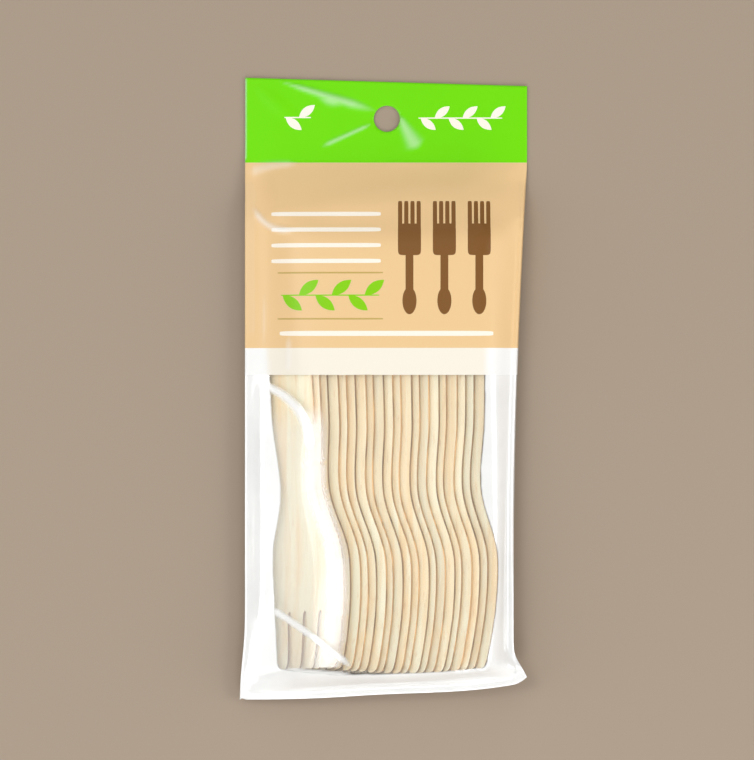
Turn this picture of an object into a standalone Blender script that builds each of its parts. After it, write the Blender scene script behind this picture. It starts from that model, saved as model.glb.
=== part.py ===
"""Pack of wooden forks: twenty pressed birch forks lying shingled in a sealed film pouch.

Metres, +Z up. The pack lies on its back film, with its header towards +Y.
"""

import math

import bmesh
import bpy
from mathutils import Matrix, Vector

# One fork, measured along its length from the tips of the tines
FORK_LENGTH = 0.160
FORK_THICKNESS = 0.0013
TIP_WIDTH = 0.0216
HEAD_WIDTH = 0.0265
NECK_WIDTH = 0.0141
HANDLE_WIDTH = 0.0180
HEAD_TO_WIDEST = 0.033
SHOULDER_START = 0.038
NECK_AT = 0.066
HANDLE_FULL_AT = 0.092
HANDLE_END_ROUND = 0.008
HANDLE_END_FLAT = 0.25
TINE_COUNT = 4
SLOT_LENGTH = 0.0205
SLOT_WIDTH = 0.0016
SLOT_ROOT_ROUND = 0.0008
TINE_POINT_LENGTH = 0.0015
TINE_POINT_WIDTH = 0.0022

# The pressed curve of the bowl, above and below the handle's plane
TIP_RISE = 0.0030
BOWL_DIP = 0.0020
BOWL_LOWEST_AT = 0.040
BOWL_END_AT = 0.075

# How the forks lie on each other
FORK_COUNT = 20
LEAN = math.radians(30.7)
NEST_GAP = 0.00025
FAN_STEP = math.radians(0.205)
FAN_PIVOT_AT = 0.031
TIP_ARC = 0.0018
LIE_SLIDE = 0.0004
LIE_TURN = 2.4
FIRST_FORK_SLIDE = 0.0010

# The pouch
FILM_THICKNESS = 0.00015
WEB_GAP = 0.0001
FILM_CLEARANCE = 0.0007
REST_CLEARANCE = 0.0003
HEADER_LENGTH = 0.0304
TOP_CUT_SLANT = 0.0030
TOP_SLACK = 0.0206
BOTTOM_SLACK = 0.0115
BOTTOM_DRAW_UP = 0.0092
LEFT_MARGIN = 0.01155
RIGHT_MARGIN = 0.01035
LEFT_PULL_IN = 0.0019
RIGHT_PULL_IN = 0.0050
SIDE_SEAL = 0.0025
BOTTOM_SEAL = 0.0025
LEFT_SEAL_HEIGHT = 0.0042
RIGHT_SEAL_HEIGHT = 0.0075
BOTTOM_SEAL_HUMP = 0.0035
SEAL_RAMP = 0.024
HANG_HOLE_RADIUS = 0.00465
HANG_HOLE_DROP = 0.0132
HANG_HOLE_OFFSET = 0.0012

# The form that the front web takes over the forks
RIDGE_CLEARANCE = 0.0011
TAUT_SHARE = 0.30
BROW_TILT = math.radians(13.5)
BROW_LEFT = 0.0078
BROW_RIGHT = 0.0048
BROW_AT_HANDLES = 0.65
FACE_STEPS = 3
TOP_STEPS = 7
RIGHT_BOW = 0.0008
FLARE_OVER_TIPS = 0.0064
BOTTOM_CURVE = 2.0
SEAL_DROP = 0.45
FALL_SHARE = 0.62
BACK_LIFT_OFF = 0.4


def clear_scene():
    for old in list(bpy.data.objects):
        bpy.data.objects.remove(old, do_unlink=True)


def mix(a, b, t):
    return a + (b - a) * t


def ease(t):
    """Cosine step from 0 to 1."""
    t = min(max(t, 0.0), 1.0)
    return (1 - math.cos(math.pi * t)) / 2


def material(name, colour, roughness, alpha=1.0):
    mat = bpy.data.materials.new(name)
    mat.use_nodes = True
    shader = mat.node_tree.nodes["Principled BSDF"]
    shader.inputs["Base Color"].default_value = (*colour, 1)
    shader.inputs["Roughness"].default_value = roughness
    shader.inputs["Alpha"].default_value = alpha
    mat.diffuse_color = (*colour, alpha)
    return mat


def add_object(name, mesh, mat):
    obj = bpy.data.objects.new(name, mesh)
    bpy.context.scene.collection.objects.link(obj)
    if not mesh.materials:
        mesh.materials.append(mat)
    return obj


# The fork

def half_width(s):
    """Half the fork's width at the distance s from its tips."""
    tip, head, neck, handle = TIP_WIDTH / 2, HEAD_WIDTH / 2, NECK_WIDTH / 2, HANDLE_WIDTH / 2
    if s < HEAD_TO_WIDEST:
        return mix(tip, head, math.sin(math.pi / 2 * s / HEAD_TO_WIDEST))
    if s < NECK_AT:
        return mix(head, neck, ease((s - SHOULDER_START) / (NECK_AT - SHOULDER_START)))
    width = mix(neck, handle, ease((s - NECK_AT) / (HANDLE_FULL_AT - NECK_AT)))
    into_end = (s - (FORK_LENGTH - HANDLE_END_ROUND)) / HANDLE_END_ROUND
    if into_end > 0:
        width *= mix(HANDLE_END_FLAT, 1.0, math.sqrt(max(1 - into_end ** 2, 0.0)))
    return width


def press_height(s):
    """Height of the fork's underside over the handle's plane."""
    if s < BOWL_LOWEST_AT:
        return mix(-BOWL_DIP, TIP_RISE, (1 - s / BOWL_LOWEST_AT) ** 2)
    return -BOWL_DIP * (1 - ease((s - BOWL_LOWEST_AT) / (BOWL_END_AT - BOWL_LOWEST_AT)))


def tine_spans(s):
    """Left and right edge of every tine at the distance s from the tips."""
    edge = half_width(s)
    root = SLOT_LENGTH - SLOT_ROOT_ROUND
    gap = SLOT_WIDTH * (1 if s <= root else 0)
    spans = []
    for tine in range(TINE_COUNT):
        left = mix(-edge, edge, tine / TINE_COUNT) + (gap / 2 if tine else 0)
        right = mix(-edge, edge, (tine + 1) / TINE_COUNT) - (gap / 2 if tine < TINE_COUNT - 1 else 0)
        if s == 0:
            middle = (left + right) / 2
            left, right = middle - TINE_POINT_WIDTH / 2, middle + TINE_POINT_WIDTH / 2
        spans.append((left, right))
    return spans


def even_steps(start, end, count):
    return [mix(start, end, k / count) for k in range(1, count + 1)]


def tine_stations():
    along_slot = even_steps(TINE_POINT_LENGTH, SLOT_LENGTH - SLOT_ROOT_ROUND, 3)
    return [0.0, TINE_POINT_LENGTH] + along_slot + [SLOT_LENGTH]


def body_stations():
    stations = [SLOT_LENGTH]
    stations += even_steps(SLOT_LENGTH, SHOULDER_START, 3)
    stations += even_steps(SHOULDER_START, NECK_AT, 7)
    stations += even_steps(NECK_AT, HANDLE_FULL_AT, 4)
    round_start = FORK_LENGTH - HANDLE_END_ROUND
    return stations + [round_start + HANDLE_END_ROUND * math.sin(math.pi / 2 * k / 5) for k in range(6)]


def fork_mesh(mat):
    """The blank, cut and pressed: rows of points joined into one flat sheet, then thickened."""
    mesh = bpy.data.meshes.new("fork")
    sheet = bmesh.new()

    def row(s, places):
        return [sheet.verts.new((u, s - FAN_PIVOT_AT, press_height(s))) for u in places]

    slot_roots = row(SLOT_LENGTH, [mix(-half_width(SLOT_LENGTH), half_width(SLOT_LENGTH), k / TINE_COUNT)
                                   for k in range(TINE_COUNT + 1)])
    for tine in range(TINE_COUNT):
        rows = [row(s, tine_spans(s)[tine]) for s in tine_stations()[:-1]]
        rows.append(slot_roots[tine:tine + 2])
        for near, far in zip(rows, rows[1:]):
            sheet.faces.new((near[0], near[1], far[1], far[0]))

    stations = body_stations()
    rows = [row(s, (-half_width(s), half_width(s))) for s in stations[1:]]
    sheet.faces.new(slot_roots + [rows[0][1], rows[0][0]])
    for near, far in zip(rows, rows[1:]):
        sheet.faces.new((near[0], near[1], far[1], far[0]))

    flat = bmesh.ops.extrude_face_region(sheet, geom=sheet.faces[:])
    lifted = [v for v in flat["geom"] if isinstance(v, bmesh.types.BMVert)]
    bmesh.ops.translate(sheet, verts=lifted, vec=(0, 0, FORK_THICKNESS))
    bmesh.ops.recalc_face_normals(sheet, faces=sheet.faces[:])
    sheet.to_mesh(mesh)
    sheet.free()
    mesh.materials.append(mat)
    return mesh


# The stack

def along_stack(i):
    """0 at the first fork, which lies on top, and 1 at the last."""
    return i / (FORK_COUNT - 1)


def tip_line(f, tips_y):
    return tips_y - TIP_ARC * math.sin(math.pi * f)


def fork_place(i):
    """Place of a fork in the leaning stack: nested face to face, slid sideways and fanned."""
    step = FORK_THICKNESS + NEST_GAP
    slide = LIE_SLIDE * math.sin(LIE_TURN * i) + (FIRST_FORK_SLIDE if i == 0 else 0)
    fan = FAN_STEP * (FORK_COUNT - 1 - i)
    across = i * step / math.tan(LEAN) + slide
    place = Matrix.Translation((across, tip_line(along_stack(i), FAN_PIVOT_AT), -i * step))
    return place @ Matrix.Rotation(fan, 4, "Z")


def lean():
    return Matrix.Rotation(-LEAN, 4, "Y")


def edge_point(i, s, side, top):
    """A point of a fork's left (-1) or right (+1) edge, on its upper or lower face."""
    height = press_height(s) + (FORK_THICKNESS if top else 0)
    return lean() @ fork_place(i) @ Vector((side * half_width(s), s - FAN_PIVOT_AT, height))


def all_stations():
    return tine_stations() + body_stations()


class Layout:
    """Where the stack stands in the pouch, and the pouch's own edges."""

    def __init__(self):
        first, last = 0, FORK_COUNT - 1
        left = edge_point(first, HEAD_TO_WIDEST, -1, False).x - FIRST_FORK_SLIDE * math.cos(LEAN)
        right = edge_point(last, HEAD_TO_WIDEST, 1, False).x
        lowest = min(edge_point(i, s, -1, False).z for i in range(FORK_COUNT) for s in all_stations())
        self.half = (right - left + LEFT_MARGIN + RIGHT_MARGIN) / 2
        length = HEADER_LENGTH + TOP_SLACK + FORK_LENGTH + BOTTOM_SLACK
        self.top = length / 2
        self.bottom = -length / 2
        self.header_line = self.top - HEADER_LENGTH
        self.tips = self.bottom + BOTTOM_SLACK
        rest = FILM_THICKNESS + REST_CLEARANCE - lowest
        self.shift = Vector((-self.half + LEFT_MARGIN - left, self.tips, rest))

    def point(self, i, s, side, top):
        return edge_point(i, s, side, top) + self.shift

    def top_edge(self, u):
        return self.top - TOP_CUT_SLANT * u

    def bottom_edge(self, u):
        return self.bottom + BOTTOM_DRAW_UP * u ** BOTTOM_CURVE

    def gathered(self, y):
        """1 along the pouch and 0 at its bottom corners, which flare out."""
        flare = self.tips + FLARE_OVER_TIPS
        return 1 - ease((flare - y) / (flare - self.bottom - BOTTOM_DRAW_UP))

    def waisted(self, y):
        """How far the forks draw a side in: 0 from the header up, 1 round the heads."""
        waist = self.tips + HEAD_TO_WIDEST
        down = (self.header_line - y) / (self.header_line - waist)
        return math.sin(math.pi / 2 * min(max(down, 0.0), 1.0)) * self.gathered(y)

    def left_edge(self, y):
        return -self.half + LEFT_PULL_IN * self.gathered(y)

    def right_edge(self, y):
        return self.half - RIGHT_PULL_IN * self.waisted(y)

    def seal_height(self, u, y):
        """Height of the seam where the two webs meet."""
        ramp = ease((self.header_line - y) / SEAL_RAMP)
        drop = ease((self.tips - y) / BOTTOM_SLACK)
        side = mix(LEFT_SEAL_HEIGHT, RIGHT_SEAL_HEIGHT, u) * ramp * (1 - SEAL_DROP * drop)
        return side + BOTTOM_SEAL_HUMP * drop * math.sin(math.pi * u)


def taut(points):
    """Upper hull of (position, height) points: the line that a stretched film takes over them."""
    hull = []
    for p in sorted(points):
        while len(hull) > 1:
            (ax, ay), (bx, by) = hull[-2], hull[-1]
            if (bx - ax) * (p[1] - ay) >= (by - ay) * (p[0] - ax):
                hull.pop()
            else:
                break
        hull.append(p)
    return hull


def height_on(hull, position):
    for (ax, ay), (bx, by) in zip(hull, hull[1:]):
        if position <= bx:
            return mix(ay, by, (position - ax) / (bx - ax))
    return hull[-1][1]


# The pouch

def film_rows():
    """The rows of both webs, from the top edge to the bottom edge, as (kind, value) pairs."""
    round_start = FORK_LENGTH - HANDLE_END_ROUND
    along = [FORK_LENGTH + FILM_CLEARANCE, FORK_LENGTH - HANDLE_END_ROUND / 2, round_start]
    along += even_steps(round_start, HANDLE_FULL_AT, 4)
    along += even_steps(HANDLE_FULL_AT, NECK_AT, 2)
    along += even_steps(NECK_AT, SHOULDER_START, 3)
    along += even_steps(SHOULDER_START, 0.0, 5)[:-1]
    rows = [("header", 1.0), ("header", 0.5), ("header", 0.0), ("ramp", 2 / 3), ("ramp", 1 / 3)]
    rows += [("fork", s) for s in along + [-FILM_CLEARANCE]]
    return rows + [("fall", 0.5), ("seal", 1.0), ("seal", 0.0)]


def row_y(layout, kind, value, u, f):
    """Length position of a row, at u across the pouch and f along the stack."""
    handle_end = tip_line(f, layout.tips) + FORK_LENGTH + FILM_CLEARANCE
    below_tips = tip_line(f, layout.tips) - FILM_CLEARANCE
    seal_in = layout.bottom_edge(u) + BOTTOM_SEAL
    if kind == "header":
        return mix(layout.header_line, layout.top_edge(u), value)
    if kind == "ramp":
        return mix(handle_end, layout.header_line, value)
    if kind == "fork":
        return tip_line(f, layout.tips) + value
    if kind == "fall":
        return mix(seal_in, below_tips, value)
    return layout.bottom_edge(u) + BOTTOM_SEAL * value


def edge_line(layout, i, side, top):
    """Places across the pouch of one edge of fork i, as (s, x) points."""
    return sorted((s, layout.point(i, s, side, top).x) for s in all_stations())


def taut_height(heights):
    """The film stretched lengthwise over (s, z) points, between the header and the bottom seal."""
    ends = [(BOTTOM_SEAL - BOTTOM_SLACK, 0.0), (FORK_LENGTH + TOP_SLACK, 0.0)]
    return taut(heights + ends)


def draped(loose, stretched, s):
    """A line of the film at s: between the forks' own shape and the line that a tight film takes."""
    return mix(height_on(loose, s), height_on(stretched, s), TAUT_SHARE)


class Bundle:
    """Where the film touches the stack of forks, at the distance s from the tips."""

    def __init__(self, layout):
        self.first_x = edge_line(layout, 0, 1, True)
        self.last_x = taut(edge_line(layout, FORK_COUNT - 1, 1, False))
        self.foot = min(x for s, x in edge_line(layout, 0, -1, False)) - FILM_CLEARANCE
        self.last_foot = layout.point(FORK_COUNT - 1, HEAD_TO_WIDEST, -1, False).x
        self.first_z = self.over_edge(layout, 0, 1, RIDGE_CLEARANCE)
        self.last_z = self.over_edge(layout, FORK_COUNT - 1, 1, RIDGE_CLEARANCE)
        self.foot_z = [(s, z + (self.foot - layout.point(0, s, -1, True).x) * math.tan(LEAN))
                       for s, z in self.over_edge(layout, 0, -1, FILM_CLEARANCE)]

    def over_edge(self, layout, i, side, clearance):
        return [(s, layout.point(i, s, side, True).z + clearance) for s in all_stations()]

    def ridge(self, s):
        """Place and height of the film over the first fork's raised edge."""
        return draped(self.first_x, taut(self.first_x), s), draped(self.first_z, taut_height(self.first_z), s)

    def last_edge(self, s):
        """Place and height of the film over the last fork's raised edge."""
        x = height_on(self.last_x, s) + FILM_CLEARANCE
        return x, draped(self.last_z, taut_height(self.last_z), s)

    def foot_height(self, s):
        return draped(self.foot_z, taut_height(self.foot_z), s)


def front_section(bundle, s):
    """The front web across the pouch, from the first fork's foot to the last fork, as (x, z) points."""
    foot_z = bundle.foot_height(s)
    (x1, z1), (x2, z2) = bundle.ridge(s), bundle.last_edge(s)
    size = mix(1.0, BROW_AT_HANDLES, ease((s - SHOULDER_START) / (HANDLE_FULL_AT - SHOULDER_START)))
    rise = math.tan(BROW_TILT)
    left, right = BROW_LEFT * size, BROW_RIGHT * size

    # Up the first fork's face, over the brow of air above its ridge, then level to the last fork
    up_face = [k / FACE_STEPS for k in range(FACE_STEPS)]
    points = [(mix(bundle.foot, x1 - left, t), mix(foot_z, z1 - left * rise, t)) for t in up_face]
    points += [(x1 + d, z1 + d * rise) for d in (-left, -left / 2, 0.0, right)]
    crest = x1 + right
    for t in even_steps(0.0, 1.0, TOP_STEPS):
        x = mix(crest, x2, t)
        points.append((x, mix(z1, z2, (x - x1) / (x2 - x1)) + right * rise * math.cos(math.pi / 2 * t)))
    return points + [(x2 + FILM_CLEARANCE, z2 - FORK_THICKNESS * math.cos(LEAN))]


def build_web_points(layout):
    """Grid points of the inner face of the front web and of the outer face of the back web."""
    bundle = Bundle(layout)
    web_step = FILM_THICKNESS + WEB_GAP
    front, back = [], []
    for kind, value in film_rows():
        on_fork = min(max(value, 0.0), FORK_LENGTH)
        s = {"header": FORK_LENGTH, "ramp": FORK_LENGTH, "fork": on_fork, "fall": 0.0, "seal": 0.0}[kind]
        share = {"header": 0.0, "ramp": 1 - value, "fork": 1.0, "fall": FALL_SHARE, "seal": 0.0}[kind]
        left_y = row_y(layout, kind, value, 0.0, 0.0)
        right_y = row_y(layout, kind, value, 1.0, 1.0)
        xl, xr = layout.left_edge(left_y), layout.right_edge(right_y)
        right_seam = layout.seal_height(1.0, right_y)

        # Across the pouch: (x, height of the front web, height of the back web); None lies in the seam
        section = front_section(bundle, s)
        x1, x2 = bundle.ridge(s)[0], bundle.last_edge(s)[0]
        lift_off = mix(bundle.last_foot, x2, BACK_LIFT_OFF)
        end_x, end_z = section[-1]
        middle = (mix(end_x, xr - SIDE_SEAL, 0.5), mix(end_z, right_seam, 0.5) + RIGHT_BOW)
        columns = [(xl, None, None), (xl + SIDE_SEAL, None, None)]
        for x, z in section + [middle]:
            rise = max(x - lift_off, 0.0) / (xr - SIDE_SEAL - lift_off)
            columns.append((x, z, rise * right_seam))
        columns += [(xr - SIDE_SEAL, None, None), (xr, None, None)]

        front_row, back_row = [], []
        for x, top, bottom in columns:
            u = (x - xl) / (xr - xl)
            f = min(max((x - x1) / (x2 - x1), 0.0), 1.0)
            y = row_y(layout, kind, value, u, f)
            seam = layout.seal_height(u, y)
            lift = 0.0 if top is None else max(top - seam - web_step, 0.0)
            fall = 0.0 if bottom is None else max(seam - bottom, 0.0)
            front_row.append(Vector((x, y, seam + web_step + share * lift)))
            back_row.append(Vector((x, y, seam - share * fall)))
        front.append(front_row)
        back.append(back_row)
    return front, back


def web_object(name, rows, mat, cutter):
    mesh = bpy.data.meshes.new(name)
    sheet = bmesh.new()
    grid = [[sheet.verts.new(p) for p in row] for row in rows]
    for upper, lower in zip(grid, grid[1:]):
        for k in range(len(upper) - 1):
            sheet.faces.new((lower[k], lower[k + 1], upper[k + 1], upper[k]))
    sheet.to_mesh(mesh)
    sheet.free()
    obj = add_object(name, mesh, mat)
    thick = obj.modifiers.new("film thickness", "SOLIDIFY")
    thick.thickness = FILM_THICKNESS
    thick.offset = 1.0
    punch = obj.modifiers.new("hang hole", "BOOLEAN")
    punch.operation = "DIFFERENCE"
    punch.solver = "EXACT"
    punch.object = cutter
    return obj


def hang_hole_cutter(layout):
    """Punch for the round hang hole, through both webs of the header."""
    middle = layout.top_edge(0.5) - HANG_HOLE_DROP
    bpy.ops.mesh.primitive_cylinder_add(vertices=32, radius=HANG_HOLE_RADIUS, depth=0.01,
                                        location=(HANG_HOLE_OFFSET, middle, 0))
    cutter = bpy.context.object
    cutter.name = "hang_hole_punch"
    cutter.hide_render = True
    cutter.display_type = "WIRE"
    return cutter


def build():
    clear_scene()
    birch = material("birch", (0.90, 0.76, 0.52), 0.6)
    printed = material("printed film", (0.20, 0.75, 0.02), 0.2, 0.5)
    clear = material("clear film", (0.92, 0.92, 0.88), 0.15, 0.3)

    layout = Layout()
    stack = bpy.data.objects.new("stack", None)
    bpy.context.scene.collection.objects.link(stack)
    stack.matrix_world = Matrix.Translation(layout.shift) @ lean()

    fork = fork_mesh(birch)
    for i in range(FORK_COUNT):
        obj = add_object(f"fork_{i + 1:02d}", fork, birch)
        obj.parent = stack
        obj.matrix_local = fork_place(i)

    cutter = hang_hole_cutter(layout)
    front, back = build_web_points(layout)
    web_object("front_film", front, printed, cutter)
    web_object("back_film", back, clear, cutter)


build()
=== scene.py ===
import bpy, bmesh, math
import numpy as np
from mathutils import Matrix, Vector, noise
from mathutils.bvhtree import BVHTree


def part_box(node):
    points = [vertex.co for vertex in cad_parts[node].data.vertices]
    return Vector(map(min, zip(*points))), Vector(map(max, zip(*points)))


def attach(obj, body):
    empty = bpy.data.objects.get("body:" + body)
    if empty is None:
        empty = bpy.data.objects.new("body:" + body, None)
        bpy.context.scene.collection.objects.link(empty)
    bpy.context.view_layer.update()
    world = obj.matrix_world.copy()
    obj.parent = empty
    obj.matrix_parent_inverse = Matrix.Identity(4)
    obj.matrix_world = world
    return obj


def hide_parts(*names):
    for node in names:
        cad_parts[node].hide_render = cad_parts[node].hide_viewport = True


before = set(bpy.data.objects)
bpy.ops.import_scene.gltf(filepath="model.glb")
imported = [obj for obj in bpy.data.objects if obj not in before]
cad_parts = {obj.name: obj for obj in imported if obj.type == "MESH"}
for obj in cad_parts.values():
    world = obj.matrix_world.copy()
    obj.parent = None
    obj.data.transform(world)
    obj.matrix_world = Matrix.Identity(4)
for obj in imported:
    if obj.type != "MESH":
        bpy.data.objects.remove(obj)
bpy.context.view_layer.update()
mm = 0.001
print("frame loaded")


# small helpers

def hexColour(code, alpha=1.0):  # sRGB hex to linear
    parts = [int(code[i:i + 2], 16) / 255 for i in (1, 3, 5)]
    return tuple(c / 12.92 if c <= 0.04045 else ((c + 0.055) / 1.055) ** 2.4 for c in parts) + (alpha,)


def addNode(tree, kind, inputs=None, **settings):
    node = tree.nodes.new("ShaderNode" + kind)
    for name, value in settings.items():
        setattr(node, name, value)
    for name, value in (inputs or {}).items():
        if isinstance(value, bpy.types.NodeSocket):
            tree.links.new(value, node.inputs[name])
        else:
            node.inputs[name].default_value = value
    return node


def mixColour(tree, factor, first, second):
    node = addNode(tree, "Mix", {"Factor": factor}, data_type="RGBA")
    for socket, value in ((node.inputs[6], first), (node.inputs[7], second)):
        if isinstance(value, bpy.types.NodeSocket):
            tree.links.new(value, socket)
        else:
            socket.default_value = value
    return node.outputs[2]


def newMaterial(name):
    material = bpy.data.materials.new(name)
    material.use_nodes = True
    return material, material.node_tree, material.node_tree.nodes["Principled BSDF"]


def deselectAll():
    if bpy.context.object and bpy.context.object.mode != "OBJECT":
        bpy.ops.object.mode_set(mode="OBJECT")
    bpy.ops.object.select_all(action="DESELECT")


def makeActive(obj):
    deselectAll()
    obj.select_set(True)
    bpy.context.view_layer.objects.active = obj


def copyNode(name, newName):  # a loose copy of a CAD node with its doubles merged
    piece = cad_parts[name].copy()
    piece.data = piece.data.copy()
    piece.parent = None
    for key in list(piece.keys()):
        del piece[key]
    piece.name = newName
    piece.data.name = newName
    bpy.context.scene.collection.objects.link(piece)
    makeActive(piece)
    bpy.ops.object.mode_set(mode="EDIT")
    bpy.ops.mesh.select_all(action="SELECT")
    bpy.ops.mesh.remove_doubles(threshold=0.00001)
    bpy.ops.object.mode_set(mode="OBJECT")
    return piece


overhead = 100 * mm  # higher than anything in the frame


def rayTree(names):
    mesh = bmesh.new()
    for name in names:
        mesh.from_mesh(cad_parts[name].data)
    tree = BVHTree.FromBMesh(mesh)
    mesh.free()
    return tree


forkNames = sorted(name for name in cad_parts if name.startswith("fork_"))


# wood: birch veneer, rotary cut, pressed and sanded, so a pale cream with fine long grain and little sheen

birch = {
    "light": "#fff8d8",
    "dark": "#fce0ad",
    "streak": "#e6bf8a",
    # the edge colours hold the cut end grain's darker colour and, darker still, painted shade of the gaps
    # between the stacked forks
    "edge": "#caa06c",
    "edgeDark": "#86663f",
    "grainMm": (0.9, 38),             # width and length of a grain line
    "fleckMm": (0.2625, 1.5625),      # the same of a dark fleck
    "edgeGrainMm": (0.278, 4.17),
    "roughness": 0.58,
    "edgeRoughness": 0.7,
    "grainShift": (3.1, 1.7, 0.9),    # how far each fork's pattern is moved on from the one before
    "fleckShift": (1.3, 2.9, 0),
    "grainRamp": (0.36, 0.62),        # the noise values where the dark colour ends and the light one starts
    "edgeRamp": (0.35, 0.65),
    "bump": 0.25,
    "bumpDepth": 0.0001,
    "tone": 0.97,                     # how light the forks are, and how that varies along the stack
    "toneSwings": ((0.05, 2.3, 0.0), (0.03, 5.1, 1.0)),
    "mostTone": 1.02,
    # how light the edges are along the stack: the swing makes the painted gap shade stronger at some forks
    # than at others
    "edgeTone": 1.05,
    "edgeSwings": ((0.42, 2.05, 0.6),),
}


def grainScale(sizeMm):  # noise scale along each axis for features of this width and length
    across, along = (1 / (4 * size * mm) for size in sizeMm)
    return across, along, across


def uneven(middle, swings, index):
    return middle + sum(size * math.sin(index * step + start) for size, step, start in swings)


def tonedColour(code, tone):
    return [c * tone for c in hexColour(code)[:3]] + [1]


def woodColour(tree, grain, ramp, dark, light, tone):
    node = addNode(tree, "ValToRGB", {"Fac": grain.outputs["Fac"]})
    for element, place, code in zip(node.color_ramp.elements, ramp, (dark, light)):
        element.position = place
        element.color = tonedColour(code, tone)
    return node.outputs[0]


def shifted(steps, seed):
    return [seed * step for step in steps]


def birchMaterial(name, tone, seed):
    material, tree, shader = newMaterial(name)
    coords = addNode(tree, "TexCoord").outputs["Object"]
    placed = addNode(tree, "Mapping", {"Vector": coords, "Location": shifted(birch["grainShift"], seed),
                                       "Scale": grainScale(birch["grainMm"])}).outputs[0]
    grain = addNode(tree, "TexNoise", {"Vector": placed, "Scale": 1.0, "Detail": 5.0, "Roughness": 0.6})
    wood = woodColour(tree, grain, birch["grainRamp"], birch["dark"], birch["light"], tone)
    fleckPlace = addNode(tree, "Mapping", {"Vector": coords, "Location": shifted(birch["fleckShift"], seed),
                                           "Scale": grainScale(birch["fleckMm"])}).outputs[0]
    flecks = addNode(tree, "TexNoise", {"Vector": fleckPlace, "Scale": 1.0, "Detail": 2.0})
    fleckMask = addNode(tree, "MapRange", {"Value": flecks.outputs["Fac"], "From Min": 0.60, "From Max": 0.74,
                                           "To Max": 0.45})
    colour = mixColour(tree, fleckMask.outputs[0], wood, hexColour(birch["streak"]))
    tree.links.new(colour, shader.inputs["Base Color"])
    bump = addNode(tree, "Bump", {"Height": grain.outputs["Fac"], "Strength": birch["bump"],
                                  "Distance": birch["bumpDepth"]})
    tree.links.new(bump.outputs[0], shader.inputs["Normal"])
    shader.inputs["Roughness"].default_value = birch["roughness"]
    return material


def birchEdgeMaterial(name, tone):  # the punched edge of the veneer, rougher; its colour is darker partly as end grain and partly as painted shade of the gaps between the forks
    material, tree, shader = newMaterial(name)
    coords = addNode(tree, "TexCoord").outputs["Object"]
    placed = addNode(tree, "Mapping", {"Vector": coords,
                                       "Scale": grainScale(birch["edgeGrainMm"])}).outputs[0]
    grain = addNode(tree, "TexNoise", {"Vector": placed, "Scale": 1.0, "Detail": 4.0})
    wood = woodColour(tree, grain, birch["edgeRamp"], birch["edgeDark"], birch["edge"], tone)
    tree.links.new(wood, shader.inputs["Base Color"])
    shader.inputs["Roughness"].default_value = birch["edgeRoughness"]
    return material


forkShape = {
    "roundMm": 0.22,      # sanded edges
    "roundSegments": 2,
    "edgeAngle": 50,
    "quadAngles": (20, 60),
    "smoothLevels": 2,
    "leanDegrees": 30.7,  # how far the forks of the stack lean to the left
    "faceShare": 0.55,    # a mesh face turned less than this towards the fork's own face is part of its edge
}


def makeFork(name, index):
    piece = copyNode(name, name.replace("_", "") + "Sanded")
    makeActive(piece)
    bpy.ops.object.mode_set(mode="EDIT")
    bpy.ops.mesh.select_all(action="SELECT")
    flat, square = (math.radians(angle) for angle in forkShape["quadAngles"])
    bpy.ops.mesh.tris_convert_to_quads(face_threshold=flat, shape_threshold=square)
    bpy.ops.object.mode_set(mode="OBJECT")
    sanding = piece.modifiers.new("sanded edge", "BEVEL")
    sanding.width = forkShape["roundMm"] * mm
    sanding.segments = forkShape["roundSegments"]
    sanding.limit_method = "ANGLE"
    sanding.angle_limit = math.radians(forkShape["edgeAngle"])
    sanding.use_clamp_overlap = True
    bpy.ops.object.modifier_apply(modifier=sanding.name)
    smooth = piece.modifiers.new("smooth", "SUBSURF")
    smooth.levels = smooth.render_levels = forkShape["smoothLevels"]
    bpy.ops.object.modifier_apply(modifier=smooth.name)
    bpy.ops.object.shade_smooth()
    tone = min(uneven(birch["tone"], birch["toneSwings"], index), birch["mostTone"])
    # the edge tone carries the painted shade of the gaps between the forks
    edgeTone = uneven(birch["edgeTone"], birch["edgeSwings"], index)
    piece.data.materials.clear()
    piece.data.materials.append(birchMaterial("birch veneer %02d" % (index + 1), tone, index + 1))
    piece.data.materials.append(birchEdgeMaterial("birch veneer cut edge %02d" % (index + 1), edgeTone))
    lean = math.radians(forkShape["leanDegrees"])
    faceNormal = Vector((-math.sin(lean), 0, math.cos(lean)))
    for face in piece.data.polygons:
        face.material_index = 0 if abs(face.normal.dot(faceNormal)) > forkShape["faceShare"] else 1
    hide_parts(name)
    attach(piece, "root")
    return piece


forks = [makeFork(name, index) for index, name in enumerate(forkNames)]
print("forks made:", len(forks))


# the two webs of the pouch

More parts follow.
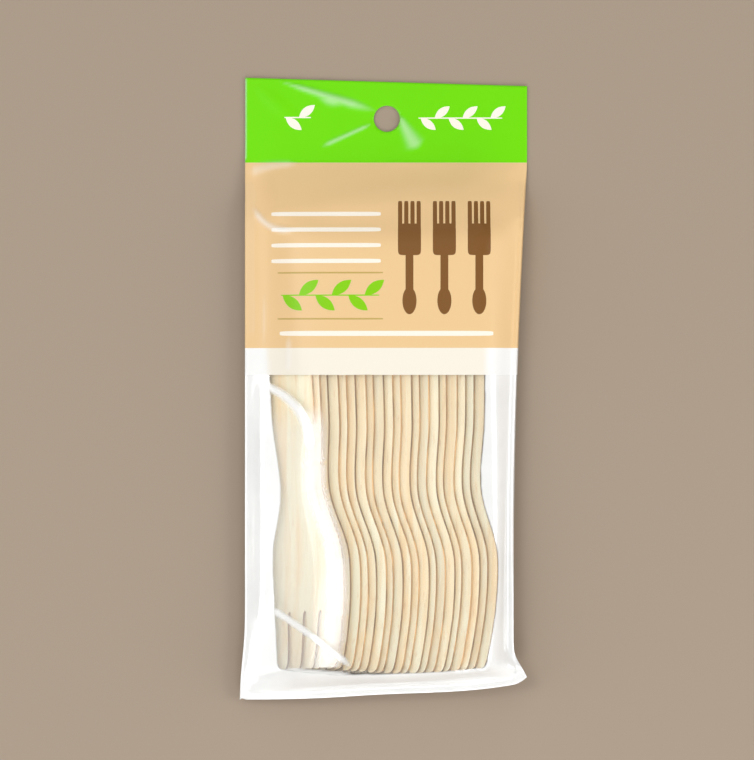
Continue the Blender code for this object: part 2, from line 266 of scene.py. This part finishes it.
film = {
    "columns": 130,
    "rows": 280,
    "thicknessMm": 0.10,
    "sideSealMm": 2.4,
    "bottomSealMm": 2.4,
    "bottomHangMm": 2.8,    # how far the bottom edge hangs at its right half
    "hangFrom": 0.40,       # where that starts, and over what share of the width it grows
    "hangLong": 0.54,
    "cornerRoundMm": 1.9,   # how far the right corner is rounded, and where that starts
    "cornerFrom": 0.95,
    "leftFlareTimes": 150,  # how often the bends of each side are averaged away
    "rightFlareTimes": 16,
    "leftFlarePower": 1.0,
    "rightFlarePower": 1.6,  # the right corner draws out late and quickly
    "clearMm": 0.18,        # the film's height over the fork edges it lies on
    "lowestMm": 0.3,
    "headerTopMm": 4.0,     # the header lies no higher than this
    "webGapMm": 0.2,        # from the front web's surface down to the back web's
    "browMm": 5.0,          # how far the air lifts the film past the first fork's ridge
    "firstMilky": 0.17,
    # the brow's haze is partly a painted highlight along the band where the mirrored lamp lies
    "browMilky": 0.40,
    "clingFromMm": -16.0,   # from here up to the next line the haze and the painted brow highlight fade out, so the film turns clear
    "clingToMm": -6.0,
    "softenTimes": 24,      # how often the facets of the frame's film are averaged away
    "headerLineMm": 80.85,
    "panelLineMm": 14.45,
    "stripLineMm": 4.85,
    "rippleMm": 0.22,
    "ripplesPerMetre": (90, 45),
    "fineRipples": (2.1, 0.5),  # how much closer the finer ones are, and their share
    "seamRipples": 0.25,
    "nearbyMm": (-0.26, 0.0, 0.26),
}


search = {
    "halvings": 18,
    "insetMm": 0.2,          # how far inside the corners of a side its first and last lines end
    "beyondMm": 10,          # how far past the film a line ends
    "fanLines": 40,          # lines that fan out over the bottom edge
    "fanFromMm": 13,         # how far above its right corner they start
    "fanShares": (0.8, 1.1), # how far out they start and end, as shares of a place along the edge
    "aboveBottomMm": 3,      # lines to a side start between these two
    "belowTopMm": 1,
}


def edgeSearch(tree, inside, outside):  # the last place from inside to outside where the film still lies
    a, b = Vector(inside), Vector(outside)
    for _ in range(search["halvings"]):
        middle = (a + b) / 2
        if tree.ray_cast(Vector((middle.x, middle.y, overhead)), Vector((0, 0, -1)))[0]:
            a = middle
        else:
            b = middle
    return a


def corner(name, alongX, alongY):  # the vertex that lies furthest in a diagonal direction
    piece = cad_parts[name]
    places = [piece.matrix_world @ vertex.co for vertex in piece.data.vertices]
    return max(places, key=lambda place: alongX * place.x + alongY * place.y)


def softened(values, times):  # a row of values with its corners rounded and its ends kept
    for _ in range(times):
        values[1:-1] = (values[:-2] + 2 * values[1:-1] + values[2:]) / 4
    return values


def webGrid(tree, columns, rows):  # x and y of every grid point, inside the outline of the frame's film
    low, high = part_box("front_film")
    topLeft, topRight = corner("front_film", -1, 1), corner("front_film", 1, 1)
    bottomLeft, bottomRight = corner("front_film", -1, -1), corner("front_film", 1, -1)
    inset, beyond = search["insetMm"] * mm, search["beyondMm"] * mm
    lowStart, highStart = bottomRight.y + search["aboveBottomMm"] * mm, topRight.y - search["belowTopMm"] * mm
    near, far = search["fanShares"]
    us = np.linspace(0, 1, columns + 1)
    vs = np.linspace(0, 1, rows + 1)[:, None]
    fanY = bottomRight.y + search["fanFromMm"] * mm
    fan = [edgeSearch(tree, (near * x, fanY, 0), (far * x, low.y - beyond, 0))
           for x in np.linspace(bottomLeft.x, bottomRight.x, search["fanLines"])]
    fan = [bottomLeft] + [place for place in fan if bottomLeft.x < place.x < bottomRight.x] + [bottomRight]
    bottoms = np.interp(bottomLeft.x + (bottomRight.x - bottomLeft.x) * us, [place.x for place in fan],
                        [place.y for place in fan])
    hanging = np.sin(np.pi / 2 * np.clip((us - film["hangFrom"]) / film["hangLong"], 0, 1)) ** 2
    cornerRound = np.clip((us - film["cornerFrom"]) / (1 - film["cornerFrom"]), 0, 1) ** 2
    bottoms -= (film["bottomHangMm"] * hanging - film["cornerRoundMm"] * cornerRound) * mm
    sides = []
    for lowEnd, highEnd, out, name in ((bottomLeft, topLeft, low.x - beyond, "leftFlare"),
                                       (bottomRight, topRight, high.x + beyond, "rightFlare")):
        found = []
        for v in vs[:, 0]:
            y = min(max(lowEnd.y + (highEnd.y - lowEnd.y) * v, lowEnd.y + inset), highEnd.y - inset)
            found.append(edgeSearch(tree, (0, min(max(y, lowStart), highStart), 0), (out, y, 0)).x)
        side = softened(np.array(found), film[name + "Times"])
        waist = np.argmin(np.abs(side[:len(side) // 3]))  # the narrowest place of the lower third
        share = (side[:waist] - side[waist]) / (side[0] - side[waist])
        side[:waist] = side[waist] + (side[0] - side[waist]) * share ** film[name + "Power"]
        sides.append(side[:, None])
    xs = sides[0] + (sides[1] - sides[0]) * us
    ys = bottoms + (topLeft.y + (topRight.y - topLeft.y) * us - bottoms) * vs
    return xs, ys


def dropOn(tree, xs, ys, fill):  # height of the first surface below each grid point
    heights = np.full(xs.shape, fill)
    for r in range(xs.shape[0]):
        for c in range(xs.shape[1]):
            hit = tree.ray_cast(Vector((xs[r, c], ys[r, c], overhead)), Vector((0, 0, -1)))[0]
            if hit:
                heights[r, c] = hit.z
    return heights


def lieOn(tree):  # heights of the frame's film at each grid point, carried on past its edges
    heights = dropOn(tree, xs, ys, np.nan)
    numbers = np.arange(heights.shape[0])
    for c in range(heights.shape[1]):
        known = ~np.isnan(heights[:, c])
        heights[:, c] = np.interp(numbers, numbers[known], heights[known, c])
    return heights


def widen(heights):  # every point takes the highest of its neighbours
    wide = heights.copy()
    for dr in (-1, 0, 1):
        for dc in (-1, 0, 1):
            wide = np.maximum(wide, np.roll(np.roll(heights, dr, 0), dc, 1))
    return wide


filmTree = rayTree(["front_film"])
xs, ys = webGrid(filmTree, film["columns"], film["rows"])
cadTop = lieOn(filmTree)
forkTree = rayTree(forkNames)
forkTop = widen(dropOn(forkTree, xs, ys, 0.0))
print("film grid placed")

seam = (xs - xs[:, :1] < film["sideSealMm"] * mm) | (xs[:, -1:] - xs < film["sideSealMm"] * mm)
seam |= (ys - ys[:1, :] < film["bottomSealMm"] * mm)
seam |= ys > film["headerLineMm"] * mm


def blur(values, times, fixed=None):
    for _ in range(times):
        softer = values.copy()
        softer[1:-1, 1:-1] = (values[2:, 1:-1] + values[:-2, 1:-1] + values[1:-1, 2:] + values[1:-1, :-2]
                              + 2 * values[1:-1, 1:-1]) / 6
        values = softer if fixed is None else np.where(fixed, values, softer)
    return values


floorUnder = np.where(forkTop > 0, forkTop + film["clearMm"] * mm, 0.0)
heights = np.maximum(blur(cadTop, film["softenTimes"], seam), floorUnder)
print("film softened over the forks, highest at", round(float(heights.max()) * 1000, 2), "mm")

# milky where it stands off the wood: in the margins, less over the brow by the first fork's ridge. The haze
# over the brow also stands in for the highlight band there, as painted highlight
firstTop = dropOn(rayTree(["fork_01"]), xs, ys, 0.0)
onFork = firstTop.max(axis=1) > 0
ridgeX = np.interp(ys.mean(axis=1), ys.mean(axis=1)[onFork],
                   [xs[r, np.argmax(firstTop[r])] for r in np.flatnonzero(onFork)])
pastRidge = (xs - ridgeX[:, None]) / mm
onBrow = np.clip(1 - np.abs(pastRidge) / film["browMm"], 0, 1) ** 0.5
milky = np.where(pastRidge < 0, film["firstMilky"], 0.0)
milky = np.maximum(milky, film["browMilky"] * onBrow)
# towards the print end the haze and the brow's painted highlight fade out
hazeAndHighlightFade = np.clip((ys / mm - film["clingFromMm"]) / (film["clingToMm"] - film["clingFromMm"]), 0, 1)
milky = milky * (1 - hazeAndHighlightFade)

# the share of nine places round each point that have no fork under them,
# so its middle value follows their outline
nearby = [(dx * mm, dy * mm) for dx in film["nearbyMm"] for dy in film["nearbyMm"]]
offForks = sum(dropOn(forkTree, xs + dx, ys + dy, 0.0) == 0 for dx, dy in nearby) / len(nearby)
offForks = blur(offForks, 3)
slack = np.maximum(milky, offForks)


foldForm = {
    "steps": 120,        # places tried along a fold
    "power": 2.4,        # of its section
    "onSeam": 0.3,       # its share on a seam
    "leastEnd": 0.0001,
}


def foldLine(places, width0, width1, fade):  # 1 along a smooth fold through its places, in millimetres
    steps = np.hypot(*np.diff(np.array(places).T))
    times = np.concatenate([[0], np.cumsum(steps)]) / sum(steps)
    curves = [np.polyfit(times, values, len(places) - 1) for values in zip(*places)]
    off = np.full(xs.shape, np.inf)
    along = np.zeros(xs.shape)
    for time in np.linspace(0, 1, foldForm["steps"]):
        x, y = (np.polyval(curve, time) for curve in curves)
        away = np.hypot(xs / mm - x, ys / mm - y)
        along = np.where(away < off, time, along)
        off = np.minimum(off, away)
    ends = np.clip(np.minimum(along, 1 - along) / fade, foldForm["leastEnd"], 1)
    width = (width0 + (width1 - width0) * along) * np.sqrt(ends)
    return np.exp(-(off / width) ** foldForm["power"]) * ends


# each fold: its places, its width at both ends, how fast its ends fade, its height, and how white it is,
# which is partly the film's whitening at the fold and partly a painted highlight along it
folds = [
    # header, round the hang hole, and its cut left edge
    (((-38.0, 110.2), (-21.0, 104.9), (-2.6, 99.3)), 0.5, 1.5, 0.25, 0.9, 0.62),
    (((-24.0, 104.8), (-13.5, 101.6)), 1.6, 1.6, 0.4, 0.3, 0.55),
    (((-22.0, 86.6), (-4.2, 94.7)), 0.7, 0.5, 0.15, 0.5, 0.58),
    (((5.2, 98.0), (12.4, 85.6)), 0.6, 2.8, 0.15, 0.8, 0.55),
    (((-46.0, 108.5), (-30.0, 95.0)), 2.6, 2.6, 0.4, 0.3, 0.0),
    (((-49.4, 110.9), (-49.4, 81.5)), 0.35, 0.35, 0.02, 0.0, 0.75),
    # the top of the panel, and the shoulder under the header
    (((-50.0, 76.6), (-42.0, 79.2), (-30.0, 80.2)), 1.9, 0.8, 0.2, 0.2, 0.5),
    (((-46.8, 65.6), (-42.4, 59.2), (-31.0, 56.4)), 0.9, 1.1, 0.2, 0.6, 0.9),
    (((-44.0, 62.0), (40.0, 74.0)), 5.0, 5.0, 0.4, 0.5, 0.0),
    # down the left of the panel and through the pale strip
    (((-48.2, 78.0), (-47.6, 15.0)), 1.5, 1.3, 0.1, 0.1, 0.3),
    (((-42.6, 34.0), (-42.8, 15.5)), 0.6, 0.6, 0.3, 0.3, 0.25),
    (((-33.8, 19.0), (-34.0, 5.0)), 0.9, 0.9, 0.2, 0.2, 0.5),
    # the trough of slack film in the left margin
    (((-43.8, 4.0), (-43.4, -38.0), (-44.0, -84.0)), 3.0, 3.6, 0.25, -1.3, 0.0),
    # from the left seam round the top of the window and down over the first fork; its white is mostly a
    # painted highlight
    (((-46.0, 1.6), (-34.0, -3.8), (-28.6, -10.6), (-26.4, -24.0)), 1.0, 2.2, 0.12, 0.12, 0.96),
    # across the tines of the first fork; its white is mostly a painted highlight
    (((-42.0, -77.6), (-27.0, -86.8), (-11.0, -99.0)), 1.3, 1.0, 0.12, 0.14, 0.98),
    # where the film comes down from the tips of the first forks: white without height, painted light laid
    # over the shade under the tips
    (((-37.0, -99.6), (-24.0, -100.8), (-10.0, -101.6)), 0.9, 0.8, 0.2, 0.0, 0.9),
]
# the whiteness the folds add is partly the film's whitening at a fold and partly painted highlight
foldWhite = np.zeros_like(heights)
onSeam = seam & (ys < film["headerLineMm"] * mm)
for places, width0, width1, fade, height, whiteAndHighlight in folds:
    line = foldLine(places, width0, width1, fade) * np.where(onSeam, foldForm["onSeam"], 1.0)
    heights = heights + height * mm * line
    foldWhite = np.maximum(foldWhite, whiteAndHighlight * line)

ripples = np.zeros_like(heights)
closer, share = film["fineRipples"]
for r in range(heights.shape[0]):
    for c in range(heights.shape[1]):
        place = Vector((xs[r, c] * film["ripplesPerMetre"][0], ys[r, c] * film["ripplesPerMetre"][1], 0.3))
        ripples[r, c] = noise.noise(place) + share * noise.noise(place * closer)
heights = heights + film["rippleMm"] * mm * ripples * slack * np.where(seam, film["seamRipples"], 1.0)
ceiling = np.where(ys > film["headerLineMm"] * mm, film["headerTopMm"] * mm, overhead)
heights = np.maximum(np.minimum(heights, ceiling), np.maximum(floorUnder, film["lowestMm"] * mm))


def gridWeb(name, zs):
    rows, columns = zs.shape
    deselectAll()
    bpy.ops.mesh.primitive_grid_add(x_subdivisions=columns - 1, y_subdivisions=rows - 1, size=0.2)
    piece = bpy.context.object
    piece.name = piece.data.name = name
    flat = np.stack([xs, ys, zs], axis=-1).reshape(-1, 3)
    piece.data.vertices.foreach_set("co", flat.astype(np.float32).ravel())
    piece.data.update()
    return piece


hangHole = {"radiusMm": 4.65, "xMm": 1.2, "yMm": 96.55}


def fromHole(point):  # level way from the middle of the hang hole
    return Vector((point.x - hangHole["xMm"] * mm, point.y - hangHole["yMm"] * mm, 0))


def punchHole(piece):  # the faces over the hole go, and the rim that is left is drawn onto its circle
    radius = hangHole["radiusMm"] * mm
    sheet = bmesh.new()
    sheet.from_mesh(piece.data)
    inside = [face for face in sheet.faces if fromHole(face.calc_center_median()).length < radius]
    bmesh.ops.delete(sheet, geom=inside, context="FACES")
    for vertex in sheet.verts:
        outward = fromHole(vertex.co)
        if vertex.is_boundary and outward.length < 2 * radius:
            vertex.co += outward.normalized() * (radius - outward.length)
    sheet.to_mesh(piece.data)
    sheet.free()


def cutAtPrintEnd(piece):  # an edge all along the end of the print
    makeActive(piece)
    bpy.ops.object.mode_set(mode="EDIT")
    bpy.ops.mesh.select_all(action="SELECT")
    bpy.ops.mesh.bisect(plane_co=(0, film["stripLineMm"] * mm, 0), plane_no=(0, 1, 0))
    bpy.ops.object.mode_set(mode="OBJECT")


def thicken(piece):
    makeActive(piece)
    wall = piece.modifiers.new("film", "SOLIDIFY")
    wall.thickness = film["thicknessMm"] * mm
    wall.offset = -1
    bpy.ops.object.modifier_apply(modifier=wall.name)
    bpy.ops.object.shade_smooth()


def giveAttributes(piece):  # what the materials read at each point
    for name, values in (("offForks", offForks), ("milky", milky), ("foldWhite", foldWhite)):
        layer = piece.data.attributes.new(name, "FLOAT", "POINT")
        layer.data.foreach_set("value", values.astype(np.float32).ravel())


def makeWeb(name, zs):
    piece = gridWeb(name, zs)
    giveAttributes(piece)
    cutAtPrintEnd(piece)
    punchHole(piece)
    thicken(piece)
    return piece


frontFilm = makeWeb("frontWeb", heights)
print("front web made")

# the back web keeps the form of the frame's film
backHeights = np.minimum(lieOn(rayTree(["back_film"])), heights - film["webGapMm"] * mm)
backFilm = makeWeb("backWeb", np.maximum(backHeights, film["thicknessMm"] * mm))
print("back web made")


# film: oriented polypropylene, thin, clear and glossy,
# so it mirrors lamps and looks milky where it hangs slack

polypropylene = {
    "haze": "#f5f5f3",
    "roughness": 0.16,
    "inkRoughness": 0.40,
    "ior": 1.6,
    "shine": 1.0,             # specular level of the bare film and of the ink
    "inkShine": 0.10,
    "clearAlpha": 0.06,       # how far the film hides what it lies on, and what it hangs free of
    "slackAlpha": 1.0,
    "marginFrom": 0.20,       # between these shares off the forks the film goes from clear to milky
    "marginTo": 0.55,
    "cloudsPerMetre": 60,
    "cloudRamp": (0.3, 0.7),  # the noise values that give the least and the most haze, and how much that is
    "cloudLow": 0.93,
    "cloudHigh": 1.04,
    "inkWhitening": 0.55,     # how far a fold lightens the ink, partly as whitening of the ink and partly as a painted highlight
    "headerGreen": "#70dc02",
    "panelTan": "#ebc793",
    "stripCream": "#f3ecdd",
    "brown": "#80572c",
    "paleInk": "#fbf3e4",
    "leafGreen": "#86cf10",
    "olive": "#c3a760",
}


# the print: fields of colour with plain shapes on them, each as colour, middle, half sizes, turn and form

forms = {"box": (8, 8), "disc": (2, 2), "leaf": (2, 1)}
repeats = {  # what is drawn several times: middle of the first, step, how many, and along which axis
    "forkPictures": {"first": 9.2, "step": 12.4, "count": 3, "along": "X"},
    "stripes": {"first": 45.4, "step": 5.6, "count": 4, "along": "Y"},
}


def forkPicture(low, high):
    length = high - low
    shapes = [(0, low + 0.30 * length, 1.4, 0.28 * length, 0, "box"),
              (0, low + 0.12 * length, 2.5, 0.12 * length, 0, "disc"),
              (0, low + 0.66 * length, 4.1, 0.14 * length, 0, "box")]
    for tine in range(4):
        shapes.append((-3.3 + 2.2 * tine, low + 0.86 * length, 0.75, 0.14 * length, 0, "box"))
    return shapes


def sprig(start, end, y, leaves, size):
    shapes = [((start + end) / 2, y, (end - start) / 2, 0.22, 0, "box")]
    for k in range(leaves):
        side = 1 if k % 2 else -1
        x = start + (end - start) * (k + 0.7) / leaves
        shapes.append((x, y + side * 0.62 * size, size, 0.42 * size, side * 38, "leaf"))
    return shapes


# each ink: its colour, its shapes, and the repeat that they are drawn on
inks = [
    ("paleInk", sprig(12.5, 42.5, 96.8, 6, 3.4) + sprig(-35.5, -26.0, 97.0, 2, 3.6), None),
    ("paleInk", [(1.0, 19.6, 38.0, 0.9, 0, "box")], None),
    ("paleInk", [(-20.5, 0, 19.5, 0.75, 0, "box")], "stripes"),
    ("brown", forkPicture(26.4, 66.8), "forkPictures"),
    ("olive", [(-19.0, y, 18.8, 0.28, 0, "box") for y in (41.2, 24.8)], None),
    ("leafGreen", sprig(-36.6, -1.5, 33.2, 6, 4.4), None),
]


def formGroup():  # inside where |x| to the one power and |y| to the other add up to less than 1
    group = bpy.data.node_groups.new("printed form", "ShaderNodeTree")
    for name, kind in (("Place", "Vector"), ("Power X", "Float"), ("Power Y", "Float")):
        group.interface.new_socket(name, in_out="INPUT", socket_type="NodeSocket" + kind)
    group.interface.new_socket("Inside", in_out="OUTPUT", socket_type="NodeSocketFloat")
    given = group.nodes.new("NodeGroupInput").outputs
    axes = addNode(group, "SeparateXYZ", {"Vector": given["Place"]}).outputs
    total = 0.0
    for axis, power in (("X", "Power X"), ("Y", "Power Y")):
        size = addNode(group, "Math", {0: axes[axis]}, operation="ABSOLUTE").outputs[0]
        raised = addNode(group, "Math", {0: size, 1: given[power]}, operation="POWER").outputs[0]
        total = addNode(group, "Math", {0: raised, 1: total}, operation="ADD").outputs[0]
    inside = addNode(group, "Math", {0: total, 1: 1.0}, operation="LESS_THAN").outputs[0]
    group.links.new(inside, group.nodes.new("NodeGroupOutput").inputs["Inside"])
    return group


def repeatedPlace(tree, coords, repeat):  # coordinates that start again at each copy
    axes = addNode(tree, "SeparateXYZ", {"Vector": coords}).outputs
    along = axes[repeat["along"]]
    first, step, count = (repeat[key] for key in ("first", "step", "count"))
    number = addNode(tree, "Math", {0: along, 1: (first - step / 2) * mm}, operation="SUBTRACT")
    number = addNode(tree, "Math", {0: number.outputs[0], 1: step * mm}, operation="DIVIDE")
    number = addNode(tree, "Math", {0: number.outputs[0]}, operation="FLOOR")
    number = addNode(tree, "Clamp", {"Value": number.outputs[0], "Max": count - 1})
    moved = addNode(tree, "Math", {0: number.outputs[0], 1: -step * mm, 2: along}, operation="MULTIPLY_ADD")
    moved = addNode(tree, "Math", {0: moved.outputs[0], 1: first * mm}, operation="SUBTRACT")
    others = {axis: axes[axis] for axis in "XYZ"}
    others[repeat["along"]] = moved.outputs[0]
    return addNode(tree, "CombineXYZ", others).outputs[0]


def shapesMask(tree, coords, shapes, group):  # 1 inside any of the shapes
    mask = 0.0
    for x, y, halfX, halfY, turn, form in shapes:
        placed = addNode(tree, "Mapping", {"Vector": coords, "Location": (x * mm, y * mm, 0),
                                           "Rotation": (0, 0, math.radians(turn)),
                                           "Scale": (halfX * mm, halfY * mm, 1)}, vector_type="TEXTURE")
        inside = addNode(tree, "Group", {"Place": placed.outputs[0], "Power X": forms[form][0],
                                         "Power Y": forms[form][1]}, node_tree=group)
        mask = addNode(tree, "Math", {0: inside.outputs[0], 1: mask}, operation="MAXIMUM").outputs[0]
    return mask


def stepMask(tree, value, edgeMm):  # 1 where the coordinate is past the edge
    return addNode(tree, "Math", {0: value, 1: edgeMm * mm}, operation="GREATER_THAN").outputs[0]


def haze(tree, coords):  # how far the film hides what is under it
    offForksValue = addNode(tree, "Attribute", attribute_name="offForks").outputs["Fac"]
    margin = addNode(tree, "MapRange", {"Value": offForksValue, "From Min": polypropylene["marginFrom"],
                                        "From Max": polypropylene["marginTo"]},
                     interpolation_type="SMOOTHSTEP").outputs[0]
    # this haze carries the painted highlight over the brow by the first fork's ridge
    hazeAndBrowHighlightValue = addNode(tree, "Attribute", attribute_name="milky").outputs["Fac"]
    slackValue = addNode(tree, "Math", {0: margin, 1: hazeAndBrowHighlightValue}, operation="MAXIMUM").outputs[0]
    cloud = addNode(tree, "TexNoise", {"Vector": coords, "Scale": polypropylene["cloudsPerMetre"],
                                       "Detail": 3.0}).outputs["Fac"]
    cloudFrom, cloudTo = polypropylene["cloudRamp"]
    cloudy = addNode(tree, "MapRange", {"Value": cloud, "From Min": cloudFrom, "From Max": cloudTo,
                                        "To Min": polypropylene["cloudLow"],
                                        "To Max": polypropylene["cloudHigh"]}).outputs[0]
    alpha = addNode(tree, "MapRange", {"Value": slackValue, "To Min": polypropylene["clearAlpha"],
                                       "To Max": polypropylene["slackAlpha"]}).outputs[0]
    alpha = addNode(tree, "Math", {0: alpha, 1: cloudy}, operation="MULTIPLY").outputs[0]
    # folds turn the clear film white: partly its whitening there, partly a painted highlight along each fold
    foldWhiteAndHighlightValue = addNode(tree, "Attribute", attribute_name="foldWhite").outputs["Fac"]
    return addNode(tree, "Math", {0: alpha, 1: foldWhiteAndHighlightValue}, operation="MAXIMUM").outputs[0]


def clearFilmMaterial():
    material, tree, shader = newMaterial("clear polypropylene film")
    coords = addNode(tree, "TexCoord").outputs["Object"]
    tree.links.new(haze(tree, coords), shader.inputs["Alpha"])
    shader.inputs["Base Color"].default_value = hexColour(polypropylene["haze"])
    shader.inputs["Roughness"].default_value = polypropylene["roughness"]
    shader.inputs["Specular IOR Level"].default_value = polypropylene["shine"]
    shader.inputs["IOR"].default_value = polypropylene["ior"]
    return material


def printedFilmMaterial():  # gravure ink on the film's inner side, opaque, with a satin sheen
    material, tree, shader = newMaterial("printed polypropylene film")
    coords = addNode(tree, "TexCoord").outputs["Object"]
    y = addNode(tree, "SeparateXYZ", {"Vector": coords}).outputs["Y"]
    offForksValue = addNode(tree, "Attribute", attribute_name="offForks").outputs["Fac"]
    colour = mixColour(tree, offForksValue, hexColour(polypropylene["stripCream"]),
                       hexColour(polypropylene["haze"]))
    for edge, name in (("panelLineMm", "panelTan"), ("headerLineMm", "headerGreen")):
        colour = mixColour(tree, stepMask(tree, y, film[edge]), colour, hexColour(polypropylene[name]))
    group = formGroup()
    for ink, shapes, repeat in inks:
        place = repeatedPlace(tree, coords, repeats[repeat]) if repeat else coords
        mask = shapesMask(tree, place, shapes, group)
        colour = mixColour(tree, mask, colour, hexColour(polypropylene[ink]))
    # folds lighten the ink towards white: a painted highlight along each fold, partly also whitening of the
    # ink
    foldWhiteAndHighlightValue = addNode(tree, "Attribute", attribute_name="foldWhite").outputs["Fac"]
    inkHighlightShare = addNode(tree, "Math", {0: foldWhiteAndHighlightValue, 1: polypropylene["inkWhitening"]}, operation="MULTIPLY")
    colour = mixColour(tree, inkHighlightShare.outputs[0], colour, hexColour(polypropylene["haze"]))
    tree.links.new(colour, shader.inputs["Base Color"])
    shader.inputs["Roughness"].default_value = polypropylene["inkRoughness"]
    shader.inputs["Specular IOR Level"].default_value = polypropylene["inkShine"]
    shader.inputs["IOR"].default_value = polypropylene["ior"]
    return material


clearFilm = clearFilmMaterial()
backFilm.data.materials.append(clearFilm)
frontFilm.data.materials.append(clearFilm)
frontFilm.data.materials.append(printedFilmMaterial())
for face in frontFilm.data.polygons:
    face.material_index = 1 if face.center.y > film["stripLineMm"] * mm else 0
webs = ((frontFilm, "front_film", "printed_film"), (backFilm, "back_film", "clear_film"))
for piece, node, slotName in webs:
    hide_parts(node)
    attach(piece, "root")
print("film finished")


# floor, lamps and camera

studio = {
    "floor": "#a2917f",
    "floorSize": 6.0,
    "floorDrop": 0.0002,  # so that the floor and the pack don't share a plane
    "floorRoughness": 0.9,
    "sky": "#ffffff",
    "skyStrength": 0.37,
    "lamps": [
        # name, place, width and height, watts, lights the surfaces or only mirrors in them
        ("key left", (-0.57, 0.30, 1.06), (0.60, 0.60), 3.8, True),
        ("fill left", (-1.10, -0.10, 0.45), (0.90, 0.90), 3.8, True),
        ("fill right", (1.05, -0.10, 0.55), (0.70, 0.70), 6.8, True),
        ("fill bottom", (0.10, -1.10, 0.60), (0.70, 0.70), 7.2, True),
        ("fill top", (0.00, 1.15, 0.60), (0.70, 0.70), 2.2, True),
        ("mirror card", (-0.68, -0.20, 0.98), (1.00, 0.60), 10.0, False),
    ],
}


def makeFloor():
    deselectAll()
    bpy.ops.mesh.primitive_plane_add(size=studio["floorSize"], location=(0, 0, -studio["floorDrop"]))
    floor = bpy.context.object
    floor.name = "studioFloor"
    material, tree, shader = newMaterial("matt paper backdrop")
    shader.inputs["Base Color"].default_value = hexColour(studio["floor"])
    shader.inputs["Roughness"].default_value = studio["floorRoughness"]
    floor.data.materials.append(material)


def makeLamps():
    world = bpy.data.worlds.new("studio")
    world.use_nodes = True
    bpy.context.scene.world = world
    sky = world.node_tree.nodes["Background"]
    sky.inputs["Color"].default_value = hexColour(studio["sky"])
    sky.inputs["Strength"].default_value = studio["skyStrength"]
    for name, place, (width, height), watts, lights in studio["lamps"]:
        bpy.ops.object.light_add(type="AREA", location=place)
        lamp = bpy.context.object
        lamp.name = name
        lamp.data.shape = "RECTANGLE"
        lamp.data.size = width
        lamp.data.size_y = height
        lamp.data.energy = watts
        lamp.visible_diffuse = lights
        lamp.rotation_euler = (-Vector(place)).to_track_quat("-Z", "Y").to_euler()


photo = {
    "scaleMm": 0.357,     # size of a pixel on the plane at planeMm
    "centreXMm": -2.335,
    "centreYMm": 3.03,
    "heightPx": 760,
    "planeMm": 6.0,
    "distance": 2.0,
    "sensorMm": 36,
}


def makeCamera():
    bpy.ops.object.camera_add(location=(photo["centreXMm"] * mm, photo["centreYMm"] * mm,
                                        photo["distance"] + photo["planeMm"] * mm), rotation=(0, 0, 0))
    camera = bpy.context.object
    camera.data.sensor_width = photo["sensorMm"]
    camera.data.sensor_fit = "AUTO"
    camera.data.lens = photo["sensorMm"] * photo["distance"] / (photo["heightPx"] * photo["scaleMm"] * mm)
    bpy.context.scene.camera = camera


makeFloor()
makeLamps()
makeCamera()
bpy.context.scene.view_settings.view_transform = "Standard"
print("studio ready")
